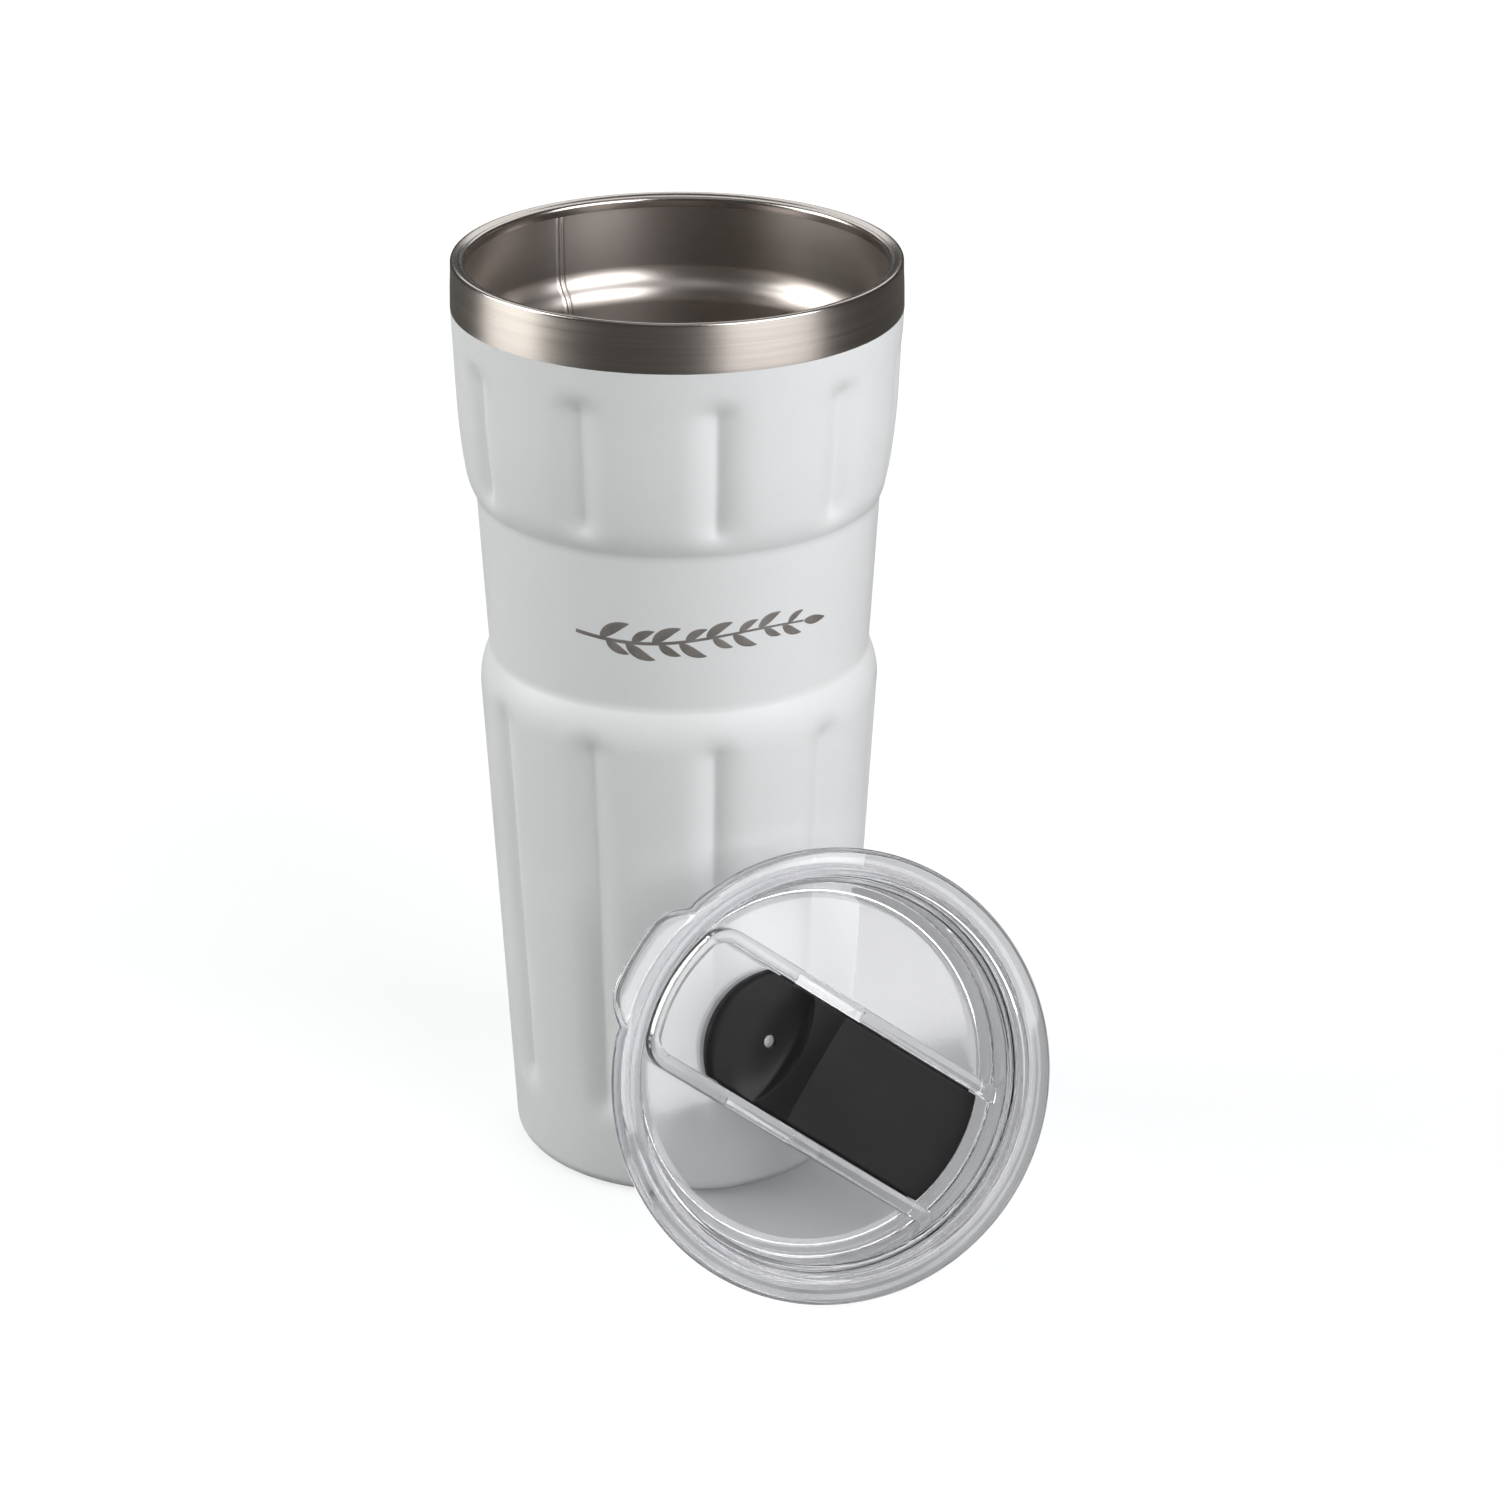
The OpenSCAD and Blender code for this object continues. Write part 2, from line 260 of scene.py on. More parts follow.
def silicone_material():
    t = material_tree("clear_silicone")
    haze = t.noise(180.0, 3.0, 0.6)
    tone = t.mix(t.ramp(haze, 0.3, 0.7), (0.66, 0.665, 0.685, 1), (0.72, 0.725, 0.745, 1))
    p = t.add("ShaderNodeBsdfPrincipled", None, Roughness=t.ramp(haze, 0.3, 0.7, 0.3, 0.42),
              Base_Color=tone, Normal=t.bump(t.noise(900.0, 2.0, 0.5), 0.08, 0.0001))
    p.inputs["IOR"].default_value = 1.41
    p.inputs["Transmission Weight"].default_value = 0.55
    return t.done(shadow_rays_pass(t, p.outputs[0], (0.85, 0.86, 0.87, 1)))


def black_material():
    t = material_tree("satin_black_plastic")
    tone = t.ramp(t.noise(40.0, 3.0, 0.6), 0.3, 0.7)
    p = t.add("ShaderNodeBsdfPrincipled", None,
              Roughness=t.ramp(t.noise(90.0, 3.0, 0.6), 0.3, 0.7, 0.40, 0.46),
              Base_Color=t.mix(tone, (0.0105, 0.0105, 0.0112, 1), (0.0135, 0.0135, 0.0142, 1)),
              Normal=t.bump(t.noise(3200.0, 2.0, 0.6), 0.08, 0.00006))
    p.inputs["IOR"].default_value = 1.5
    p.inputs["Specular IOR Level"].default_value = 0.17
    return t.done(p.outputs[0])


def plain_material(name, tones, rough, scale, metallic=0.0):
    """A mottled surface whose colour runs between the two tones."""
    t = material_tree(name)
    tone = t.noise(scale, 3.0, 0.6)
    p = t.add("ShaderNodeBsdfPrincipled", None, Roughness=t.ramp(tone, 0.3, 0.7, rough * 0.85, rough * 1.15),
              Base_Color=t.mix(t.ramp(tone, 0.3, 0.7), *tones),
              Normal=t.bump(t.noise(scale * 12, 2.0, 0.5), 0.1, 0.0001))
    p.inputs["Metallic"].default_value = metallic
    return t.done(p.outputs[0])


BAND_TONES = ((0.52, 0.475, 0.435, 1), (0.61, 0.56, 0.515, 1))
LINER_TONES = ((0.475, 0.437, 0.41, 1), (0.49, 0.452, 0.424, 1))
LIP_TONES = ((0.42, 0.39, 0.365, 1), (0.46, 0.425, 0.40, 1))
HIDDEN_TONES = ((0.45, 0.43, 0.41, 1), (0.52, 0.5, 0.48, 1))
MARK_TONES = ((0.30, 0.282, 0.265, 1), (0.36, 0.338, 0.318, 1))
GETTER_TONES = ((0.10, 0.10, 0.105, 1), (0.16, 0.16, 0.165, 1))
SOLDER_TONES = ((0.02, 0.02, 0.025, 1), (0.05, 0.05, 0.06, 1))
COAT = coat_material()
BAND = steel_material("brushed_band_steel", BAND_TONES, (0.40, 0.48), 0.92)
LINER = steel_material("liner_steel", LINER_TONES, (0.31, 0.35), 0.45, streak=0.03)
LIP = steel_material("lip_steel", LIP_TONES, (0.17, 0.22), 0.2, streak=0.15)
HIDDEN_STEEL = steel_material("inner_shell_steel", HIDDEN_TONES, (0.3, 0.4), 0.3)
CLEAR = clear_material()
SILICONE = silicone_material()
BLACK = black_material()
GETTER = plain_material("getter_metal", GETTER_TONES, 0.7, 700.0, 0.6)
SOLDER = plain_material("solder_glass", SOLDER_TONES, 0.15, 300.0)
MARK = plain_material("engraved_mark_steel", MARK_TONES, 0.5, 300.0, 0.6)

# The nodes that show the CAD's own shape
for node, material in (("base_plate", HIDDEN_STEEL), ("getter", GETTER), ("getter_clip", HIDDEN_STEEL),
                       ("solder_seal", SOLDER), ("base_cover", BAND), ("slider_seal", SILICONE)):
    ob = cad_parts[node]
    ob.data.materials.clear()
    ob.data.materials.append(material)

# ---------------------------------------------------------------- tumbler: its outline
BASE_R = 34.6
LOW_TAPER = 0.0545
UP_TAPER = 0.041
BAND_R = 44.25
BAND_Z = 180.3
FOOT_ROUND = 3.5
SHOULDER_Z, SHOULDER_BEND, SHOULDER_TURN = 101, 16.6, 27.7
SWELL_Z, SWELL_BEND, SWELL_TURN = 162.7, 140, 6
TUCK_BEND, TUCK_TURN = 15.7, 31.0
COAT_T = 0.29
WALL_IN = 0.31
TILT_LOW = math.degrees(math.atan(LOW_TAPER))
TILT_UP = math.degrees(math.atan(UP_TAPER))


def from_point(p, bend, degrees):
    """The centre of an arc of radius bend through p, where the wall leans out by the given degrees."""
    a = math.radians(degrees)
    return (p[0] - bend * math.cos(a), p[1] + bend * math.sin(a))


FOOT_C = (BASE_R + LOW_TAPER * FOOT_ROUND - FOOT_ROUND, FOOT_ROUND)
SHOULDER_C = from_point((BASE_R + LOW_TAPER * SHOULDER_Z, SHOULDER_Z), SHOULDER_BEND, TILT_LOW)
SWELL_C = from_point((BAND_R + UP_TAPER * (SWELL_Z - BAND_Z), SWELL_Z), SWELL_BEND, TILT_UP)
SWELL_LOW = TILT_UP + SWELL_TURN
SWELL_END = from_point(SWELL_C, -SWELL_BEND, SWELL_LOW)
TUCK_C = from_point(SWELL_END, TUCK_BEND, SWELL_LOW)


def side(inset, foot_angle):
    """The coated side from the foot up to the bare band, moved in by inset."""
    upper = arc(SHOULDER_C, SHOULDER_BEND, -TILT_LOW, SHOULDER_TURN, 14)
    upper += arc(TUCK_C, TUCK_BEND, -TUCK_TURN, -SWELL_LOW, 14)
    upper += arc(SWELL_C, SWELL_BEND, -SWELL_LOW, -TILT_UP, 8) + [(BAND_R, BAND_Z)]
    return arc(FOOT_C, FOOT_ROUND - inset, foot_angle, -TILT_LOW, 14) + [(r - inset, z) for r, z in upper]


# ---------------------------------------------------------------- tumbler: valleys between the panels
PANELS = 10
PANEL_TURN = 2 * math.pi / PANELS
FIRST_VALLEY = math.radians(-80)
VALLEY_DEPTH = 1.6
VALLEY_HALF = 7.1
VALLEY_SOFT = 0.5
# (lower end, upper end) in height, and how far each groove takes to run out at either end
LOW_VALLEY, LOW_ENDS = (21.0, 99.5), (6.5, 6.0)
UP_VALLEY, UP_ENDS = (147.5, 171.0), (7.0, 4.5)
WAIST_FROM, WAIST_TO = 104.0, 142.6


def groove(d, z, span, half, depth, ends):
    """Depth at height z and d beside the middle line of a groove that runs out below and above its span."""
    below = np.maximum(span[0] - z, 0) * half / ends[0]
    above = np.maximum(z - span[1], 0) * half / ends[1]
    s = np.hypot(d, np.maximum(above, below))
    s = np.sqrt(s * s + VALLEY_SOFT ** 2) - VALLEY_SOFT
    return depth * np.clip(1 - s / half, 0, 1) ** 1.95


def pressed(r, z, phi):
    """A point of the wall, moved in by the valleys."""
    turn = phi - FIRST_VALLEY
    d = np.abs(turn - np.round(turn / PANEL_TURN) * PANEL_TURN) * r
    low = groove(d, z, LOW_VALLEY, VALLEY_HALF - 0.8, VALLEY_DEPTH, LOW_ENDS)
    up = groove(d, z, UP_VALLEY, VALLEY_HALF, VALLEY_DEPTH + 0.2, UP_ENDS)
    # the valleys fade where the round steps bend in to the waist
    low = low * (1 - smooth((z - WAIST_FROM) / 5.0))
    return r - low - up * smooth((z - WAIST_TO) / 7.0), z


# Columns of points stand closer together near a valley's middle line.
SPREAD = np.array([0, 0.28, 0.6, 0.95, 1.35, 1.8, 2.3, 2.9, 3.6, 4.4, 5.3, 6.3, 7.4, 8.8, 10.4, 12.2])
SPREAD = SPREAD / (SPREAD[-1] + 1.7) * PANEL_TURN / 2
WALL_PHIS = []
for k in range(PANELS):
    middle = FIRST_VALLEY + k * PANEL_TURN
    WALL_PHIS += [middle - s for s in SPREAD[:0:-1]] + [middle + s for s in SPREAD]
    WALL_PHIS.append(middle + PANEL_TURN / 2)

# ---------------------------------------------------------------- tumbler: coating
outer = fill_in(side(0, -75), 1.3)
inner = fill_in(side(COAT_T, -75), 3.0)
verts, faces = lathe(outer + inner[::-1], WALL_PHIS, pressed)
coat = dress(bare_object("coat", verts * MM, faces), "tumbler", COAT, 60)
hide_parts("powder_coat")

# ---------------------------------------------------------------- tumbler: outer wall, band and lip
MOUTH = 41.2
LINER_TOP = 187.5
SEAT_R = 29.0
rim = arc((43.4, 189.36), 0.62, 4, 100, 8) + [(42.9, 189.9), (42.4, 189.68)]
rim += arc((42.0, 188.75), 0.8, 78, 180, 9) + [(MOUTH, LINER_TOP)]
outside = fill_in(side(WALL_IN, -90), 1.6)[:-1] + [(BAND_R, BAND_Z - 0.02)]
outside += fill_in([(BAND_R + 0.02, BAND_Z + 0.1), (44.2, 184.5), (44.06, 187.4)], 1.0) + rim
inside = [(MOUTH + 0.6, LINER_TOP), (MOUTH + 0.7, 188.3), (43.2, 188.6)]
inside += fill_in([(43.6, 187.6), (43.65, BAND_Z)] + side(0.9, -90)[::-1][1:], 4.0)
inside += [(SEAT_R, 0.9), (SEAT_R, 0.0)]
verts, faces = lathe(outside + inside, WALL_PHIS, pressed)
shell = dress(bare_object("steel_shell", verts * MM, faces), "tumbler", BAND, 40)
shell.data.materials.append(LIP)
for poly in shell.data.polygons:
    c = poly.center / MM
    if c.z > 189.3 or (c.z > LINER_TOP and math.hypot(c.x, c.y) < 42.5):
        poly.material_index = 1
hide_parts("outer_shell")

# ---------------------------------------------------------------- tumbler: inner wall and its floor
STEP_IN, STEP_TALL = 2.9, 7.5
STEP_TOP = 175.5
STEP_TURN = math.degrees(2 * math.atan(STEP_IN / STEP_TALL))
STEP_BEND = STEP_TALL / (2 * math.sin(math.radians(STEP_TURN)))
LINER_R = MOUTH - STEP_IN
LINER_TAPER = 0.052
LINER_LOW = 16.0
LINER_LOW_R = LINER_R - LINER_TAPER * (STEP_TOP - STEP_TALL - LINER_LOW)
FLOOR_ROUND = 6
WELD_AT = math.radians(125)


def liner_line(out):
    """The inner wall from the mouth down to its floor, moved out by the given distance."""
    points = [(MOUTH, LINER_TOP), (MOUTH, 181.0)]
    points += arc((MOUTH - STEP_BEND, STEP_TOP), STEP_BEND, 0, -STEP_TURN, 12)
    points += arc((LINER_R + STEP_BEND, STEP_TOP - STEP_TALL), STEP_BEND, 180 - STEP_TURN, 180, 12)
    points += [(LINER_LOW_R, LINER_LOW)]
    return [(r + out, z) for r, z in points]


def welded(r, z, phi):
    """Two fine beads side by side along the wall's weld, ground nearly flush."""
    s = (phi - WELD_AT) * 40
    bead = 0.15 * np.exp(-((s - 0.55) / 0.2) ** 2) + 0.15 * np.exp(-((s + 0.55) / 0.2) ** 2)
    bead = bead - 0.06 * np.exp(-(s / 0.25) ** 2) + 0.02 * np.sin(z * 9.1) * np.exp(-(s / 0.8) ** 2)
    return r - bead * (r < 41.5) * smooth(187.3 - z), z


beside_weld = np.array([0.1, 0.25, 0.4, 0.55, 0.7, 0.85, 1.05, 1.3, 1.6]) / 41
even = np.linspace(0, 2 * math.pi, 288, endpoint=False)
even = even[np.abs(even - WELD_AT) > 1.9 / 41]
liner_phis = np.sort(np.concatenate([even, WELD_AT - beside_weld, [WELD_AT], WELD_AT + beside_weld]))
verts, faces = lathe(fill_in(liner_line(0), 1.2) + fill_in(liner_line(0.5)[::-1], 8.0), liner_phis, welded)
liner = dress(bare_object("liner", verts * MM, faces), "tumbler", LINER, 50)
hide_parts("liner_wall")

floor_c = (LINER_LOW_R - FLOOR_ROUND, LINER_LOW)
dish = [(0.0, 10.25), (8.0, 10.2), (9.0, 10.0)] + arc(floor_c, FLOOR_ROUND, -90, 0, 12)
under = arc(floor_c, FLOOR_ROUND + 0.5, 0, -90, 12) + [(9.0, 9.5), (0.0, 9.7)]
floor_phis = np.linspace(0, 2 * math.pi, 144, endpoint=False)
verts, faces = lathe(fill_in(dish, 3.0) + fill_in(under, 4.0), floor_phis, closed=False)
dish_ob = dress(bare_object("liner_dish", verts * MM, faces), "tumbler", LINER, 50)
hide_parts("liner_floor")

# ---------------------------------------------------------------- tumbler: leaf sprig engraved on the waist
SPRIG_AT = math.radians(7 - 90)
SPRIG_Z = 125.2
SPRIG_SCALE = 1.13
STEM_FROM, STEM_TO = -23, 19
# the waist's radius at one height, its taper, and the radius that turns a length round it into an angle
WAIST_R, WAIST_Z, WAIST_TAPER = 39.1, 125.0, 0.0569
WAIST_ROUND = 38.9
MARK_HIGH, MARK_RIM, MARK_BACK = 0.03, -0.03, -0.09


def on_waist(s, z, out):
    """A point of the waist: s round from the sprig's centre, z up from it, out off the coat."""
    height = SPRIG_Z + z
    r = WAIST_R + WAIST_TAPER * (height - WAIST_Z) + out
    a = SPRIG_AT + s / WAIST_ROUND
    return (r * math.cos(a), r * math.sin(a), height)


def blade(line, width, across=8):
    """A thin closed plate along the line of (s, z) points. width(u) is its half width."""
    front, back = [], []
    n, k = len(line), across + 1
    for i, (s, z) in enumerate(line):
        p, q = line[max(i - 1, 0)], line[min(i + 1, n - 1)]
        ds, dz = q[0] - p[0], q[1] - p[1]
        w = max(width(i / (n - 1)), 0.02) / math.hypot(ds, dz)
        for j in range(k):
            v = w * (2 * j / across - 1)
            at = (SPRIG_SCALE * (s - dz * v), SPRIG_SCALE * (z + ds * v))
            edge = j in (0, across) or i in (0, n - 1)
            front.append(on_waist(*at, MARK_RIM if edge else MARK_HIGH))
            back.append(on_waist(*at, MARK_BACK))
    grid = [(i * k + j, i * k + j + 1, (i + 1) * k + j + 1, (i + 1) * k + j)
            for i in range(n - 1) for j in range(across)]
    rim = list(range(k)) + [i * k + across for i in range(1, n)]
    rim += [(n - 1) * k + j for j in range(across - 1, -1, -1)] + [i * k for i in range(n - 2, 0, -1)]
    lower = n * k
    faces = grid + [tuple(lower + i for i in face[::-1]) for face in grid]
    faces += [(b, a, lower + a, lower + b) for a, b in zip(rim, rim[1:] + rim[:1])]
    return front + back, faces


def leaf(s, z, heading, length, wide, bend):
    """One leaf from (s, z) that bends as it grows."""
    line = []
    for u in np.linspace(0, 1, 15):
        a = math.radians(heading + bend * u)
        line.append((s + length * u * math.cos(a), z + length * u * math.sin(a)))
    return blade(line, lambda u: wide * math.sin(math.pi * u ** 0.8) ** 0.9 if 0 < u < 1 else 0.0)


def stem_z(s):
    return 0.9 * math.sin(s / 23 * math.pi)


parts = [blade([(s, stem_z(s)) for s in np.linspace(STEM_FROM, STEM_TO, 60)], lambda u: 0.42 - 0.2 * u)]
parts.append(leaf(18.6, stem_z(18.6), -12, 5.2, 0.95, 6))
for i in range(8):
    s = -18.0 + 4.6 * i
    up = 1 if i % 2 == 0 else -1
    size = 1.0 - 0.035 * i
    parts.append(leaf(s, stem_z(s), up * 52, 6.3 * size, 1.15 * size, -up * 22))
    parts.append(leaf(s + 1.1, stem_z(s + 1.1), -up * 50, 4.9 * size, 0.95 * size, up * 20))
verts, faces = [], []
for part_verts, part_faces in parts:
    faces += [tuple(i + len(verts) for i in face) for face in part_faces]
    verts += part_verts
dress(bare_object("leaf_sprig", np.array(verts) * MM, faces), "tumbler", MARK, 60)

# ---------------------------------------------------------------- the lid's own frame
# z is 0 at the flange's top and x runs along the cover's track. The lid stands on its flange and leans back.
LEAN = math.radians(20.5)
LID_TURN = math.radians(16.6)
TRACK_TURN = math.radians(-37.9)
FLANGE_R = 44.8
BEAD = 1.5
FLANGE_C = FLANGE_R - BEAD
LID_AT = Vector((30.1, -62.5, FLANGE_C * math.cos(LEAN) + BEAD + BEAD * math.sin(LEAN)))
PLACE = (Matrix.Translation(LID_AT) @ Matrix.Rotation(LID_TURN, 4, "Z")
         @ Matrix.Rotation(math.pi / 2 - LEAN, 4, "X") @ Matrix.Rotation(TRACK_TURN, 4, "Z"))


def prism(plan, z0, z1):
    """Vertices and faces of a plan raised from z0 to z1."""
    n = len(plan)
    verts = [(x, y, z0) for x, y in plan] + [(x, y, z1) for x, y in plan]
    faces = [tuple(range(n))[::-1], tuple(range(n, 2 * n))]
    faces += [(i, (i + 1) % n, n + (i + 1) % n, n + i) for i in range(n)]
    return verts, faces


def round_plan(x, r, step):
    """A circle of radius r round (x, 0), with a point every step degrees."""
    angles = np.radians(np.arange(0, 360, step))
    return [(x + r * math.cos(a), r * math.sin(a)) for a in angles]


def combine(target, others):
    """Joins or cuts the target with each (object, operation) in turn."""
    for ob, operation in others:
        mod = target.modifiers.new("step", "BOOLEAN")
        mod.operation = operation
        mod.solver = "EXACT"
        mod.object = ob
        graph = bpy.context.evaluated_depsgraph_get()
        mesh = bpy.data.meshes.new_from_object(target.evaluated_get(graph))
        target.modifiers.clear()
        old = target.data
        target.data = mesh
        bpy.data.meshes.remove(old)
        bpy.data.objects.remove(ob)


def settle(ob, name, body, material, angle):
    """Moves a mesh of the lid's frame to its place in the scene and dresses it."""
    bm = bmesh.new()
    bm.from_mesh(ob.data)
    bmesh.ops.dissolve_degenerate(bm, dist=1e-4, edges=bm.edges)
    bm.to_mesh(ob.data)
    bm.free()
    co = np.empty(len(ob.data.vertices) * 3)
    ob.data.vertices.foreach_get("co", co)
    place = np.array(PLACE)
    co = (co.reshape(-1, 3) @ place[:3, :3].T + place[:3, 3]) * MM
    ob.data.vertices.foreach_set("co", co.ravel())
    ob.name = name
    ob.data.name = name
    return dress(ob, body, material, angle)


# ---------------------------------------------------------------- lid: flange, recess and plug
WALL_R = 37.5
RECESS = 15.0
FLOOR_LOW = -RECESS - 2.0
FLOOR_FILLET = 3.6
LID_H = 18.0
PLUG_R = 40.8
PLUG_FOOT = 1.75
GROOVE_R = 39.3
TAB_REACH = 3.2

top_line = [(r, -RECESS) for r in (0.0, 8.0, 16.0, 24.0, 30.0)]
top_line += arc((WALL_R - FLOOR_FILLET, -RECESS + FLOOR_FILLET), FLOOR_FILLET, -90, 0, 14)
top_line += [(37.53, -9.5), (37.6, -7.6), (37.66, -6.7)]
top_line += arc((38.5, -6.35), 0.85, 190, 118, 5)
top_line += arc((38.35, -4.3), 0.9, -50, 0, 5)
top_line += [(39.28, -3.2), (39.33, -1.6)]
top_line += arc((40.0, -0.65), 0.65, 176, 92, 6)
top_line += [(41.2, 0.0), (42.3, 0.0)]
edge_line = arc((FLANGE_C, -BEAD), BEAD, 90, -90, 18)
low_line = [(42.3, -3.0)] + arc((PLUG_R + 0.5, -3.5), 0.5, 90, 180, 4) + [(PLUG_R, -4.4)]
low_line += arc((PLUG_R - 0.15, -5.05), 0.15, 0, -90, 2)
low_line += [(40.0, -5.2), (39.45, -5.2)] + arc((39.45, -5.35), 0.15, 90, 180, 2) + [(GROOVE_R, -6.8)]
low_line += arc((39.45, -8.25), 0.15, 180, 270, 2) + [(40.3, -8.4)]
low_line += arc((PLUG_R - 0.35, -8.55), 0.15, 90, 0, 2)
low_line += [(40.55, -10.0), (40.0, -12.6), (39.4, -15.0)]
low_line += arc((37.55, -LID_H + PLUG_FOOT), PLUG_FOOT, 12, -90, 10)
low_line += [(36.6, -LID_H)] + arc((36.3, -LID_H + 0.3), 0.3, -90, -170, 3)
low_line += [(35.7, FLOOR_LOW - 0.25), (35.45, FLOOR_LOW)]
low_line += [(r, FLOOR_LOW) for r in (30.0, 22.0, 12.0, 0.0)]


def pull_tab(r, z, phi):
    """The flange swells out into the pull tab round -x, with a slight dip on either side."""
    away = np.abs(np.degrees(np.arctan2(np.sin(phi - math.pi), np.cos(phi - math.pi))))
    u = (16.4 - away) / 8.6
    t = np.minimum((u + np.sqrt(u * u + 0.012)) / 2, 1)
    swell = TAB_REACH * (1 - (1 - t) ** 2)
    dip = -0.25 * np.exp(-((away - 17.6) / 1.3) ** 2)
    share = np.clip((r - 41.4) / (FLANGE_C - 41.4), 0, 1) * (z > -3.2)
    return r + (swell + dip) * share, z


lid_phis = np.radians(np.arange(0, 360, 1.5))
tab_phis = np.radians(np.arange(160, 200.1, 0.5))
plain = (lid_phis < tab_phis[0] - 0.004) | (lid_phis > tab_phis[-1] + 0.004)
lid_phis = np.sort(np.concatenate([lid_phis[plain], tab_phis]))
lid = bare_object("lid", *lathe(top_line + edge_line + low_line, lid_phis, pull_tab, closed=False))

# ---------------------------------------------------------------- lid: rails of the cover's track
TRACK_HALF = 12.4
TRACK_END = 33.0
CORNER = 3.5
RAIL_W, END_W = 3.0, 2.0
RAIL_TOP = -RECESS + 4.0


def rail_section(w):
    """(out, z) points of the rail's section, w wide, with rounded top edges."""
    left = [(0.0, -15.8), (0.0, -13.4), (0.0, RAIL_TOP - 0.42), (0.05, RAIL_TOP - 0.2)]
    left.append((0.2, RAIL_TOP - 0.05))
    top = [(0.42, RAIL_TOP), (w / 2, RAIL_TOP), (w - 0.42, RAIL_TOP)]
    right = [(w - 0.2, RAIL_TOP - 0.05), (w - 0.05, RAIL_TOP - 0.2), (w, RAIL_TOP - 0.42)]
    return left + top + right + [(w + 0.03, -13.4), (w + 0.1, -15.8)]


def rail_path():
    """Stations (x, y, normal x, normal y, width) along one rail, round the closed end and back."""
    corner_y = TRACK_HALF - CORNER
    corner_x = -math.sqrt((TRACK_END - CORNER) ** 2 - corner_y ** 2)
    corner_turn = 90 - math.degrees(math.atan2(corner_y, -corner_x))
    path = [(x, TRACK_HALF, 0.0, 1.0, RAIL_W) for x in np.linspace(36.3, corner_x, 26)[:-1]]
    for a in np.linspace(0, corner_turn, 11):
        c, s = -math.sin(math.radians(a)), math.cos(math.radians(a))
        width = RAIL_W + (END_W - RAIL_W) * a / corner_turn
        path.append((corner_x + CORNER * c, corner_y + CORNER * s, c, s, width))
    for a in np.radians(np.linspace(90 + corner_turn, 180, 9)[1:]):
        c, s = math.cos(a), math.sin(a)
        path.append((TRACK_END * c, TRACK_END * s, c, s, END_W))
    return path + [(x, -y, nx, -ny, w) for x, y, nx, ny, w in path[-2::-1]]


path = rail_path()
verts = [(x + nx * out, y + ny * out, z) for x, y, nx, ny, w in path for out, z in rail_section(w)]
k = len(rail_section(RAIL_W))
faces = [(i * k + a, i * k + (a + 1) % k, (i + 1) * k + (a + 1) % k, (i + 1) * k + a)
         for i in range(len(path) - 1) for a in range(k)]
faces += [tuple(range(k)), tuple(range((len(path) - 1) * k, len(path) * k))[::-1]]
rails = bare_object("rails", verts, faces)

# ---------------------------------------------------------------- lid: openings and the cover's grooves
COVER_END = 33.9
TRAVEL = 9.0
VENT_X, VENT_R = -11.3, 1.35
THROUGH_FLOOR = (-18.6, -14.2)


def slot_plan():
    """The drink slot, inside the cover's end at rest and clear of it when the cover is open."""
    r1, r2 = COVER_END - 1.4, COVER_END + 0.2
    turn1, turn2 = math.asin(8.2 / r1), math.asin(8.9 / r2)
    corner_x = math.sqrt(r1 ** 2 - 8.9 ** 2) - 0.1
    plan = [(r1 * math.cos(a), r1 * math.sin(a)) for a in np.linspace(-turn1, turn1, 15)]
    plan += [(corner_x, 8.8)]
    plan += [(r2 * math.cos(a) - TRAVEL, r2 * math.sin(a)) for a in np.linspace(turn2, -turn2, 15)]
    return plan + [(corner_x, -8.8)]


def side_box(name, side_of, x_span, y_span, z_span):
    """A box on one side of the track, given by the span of its distance from the track's middle."""
    y0, y1 = sorted(side_of * y for y in y_span)
    plan = [(x_span[0], y0), (x_span[1], y0), (x_span[1], y1), (x_span[0], y1)]
    return bare_object(name, *prism(plan, *z_span))


slot = bare_object("slot", *prism(slot_plan(), *THROUGH_FLOOR))
vent = bare_object("vent", *prism(round_plan(VENT_X - TRAVEL, VENT_R, 10), *THROUGH_FLOOR))
steps = [(rails, "UNION"), (slot, "DIFFERENCE"), (vent, "DIFFERENCE")]
for s in (-1, 1):
    cut = side_box("groove", s, (-28, 33), (TRACK_HALF - 0.4, TRACK_HALF + 0.7), (-14.0, -12.8))
    steps.append((cut, "DIFFERENCE"))
    cut = side_box("pocket", s, (-13, 2.8), (TRACK_HALF - 0.4, TRACK_HALF + 2.3), (-14.1, -12.75))
    steps.append((cut, "DIFFERENCE"))
combine(lid, steps)
settle(lid, "clear_lid", "lid", CLEAR, 28)
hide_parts("lid_shell")

# ---------------------------------------------------------------- lid: sealing ring with two soft lips
ring_line = [(39.32, -8.35), (40.2, -8.35), (40.45, -8.1), (40.75, -7.9)]
ring_line += arc((41.1, -7.6), 0.17, -80, 80, 5) + [(40.7, -7.3), (40.5, -7.1), (40.5, -6.5), (40.7, -6.3)]
ring_line += arc((41.1, -6.0), 0.17, -80, 80, 5)
ring_line += [(40.75, -5.7), (40.45, -5.45), (40.2, -5.25), (39.32, -5.25)]
ring = bare_object("ring", *lathe(ring_line, np.radians(np.arange(0, 360, 2))))
settle(ring, "sealing_ring", "lid", SILICONE, 50)
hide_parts("lid_gasket")

# ---------------------------------------------------------------- drink cover
HALF_W = 12.1
COVER_TOP = -12.0
COVER_LOW = -14.7
CREST = COVER_TOP + 1.15
BOWL = 2.35
# (centre on x, radius) of the round lines across the cover
NOSE_ARC = (-7.2, 16.6)
RIDGE_ARC = (-26.7, 21.8)
STRIP_ARC = (-51.7, 51.0)
END_ARC = (0, COVER_END)


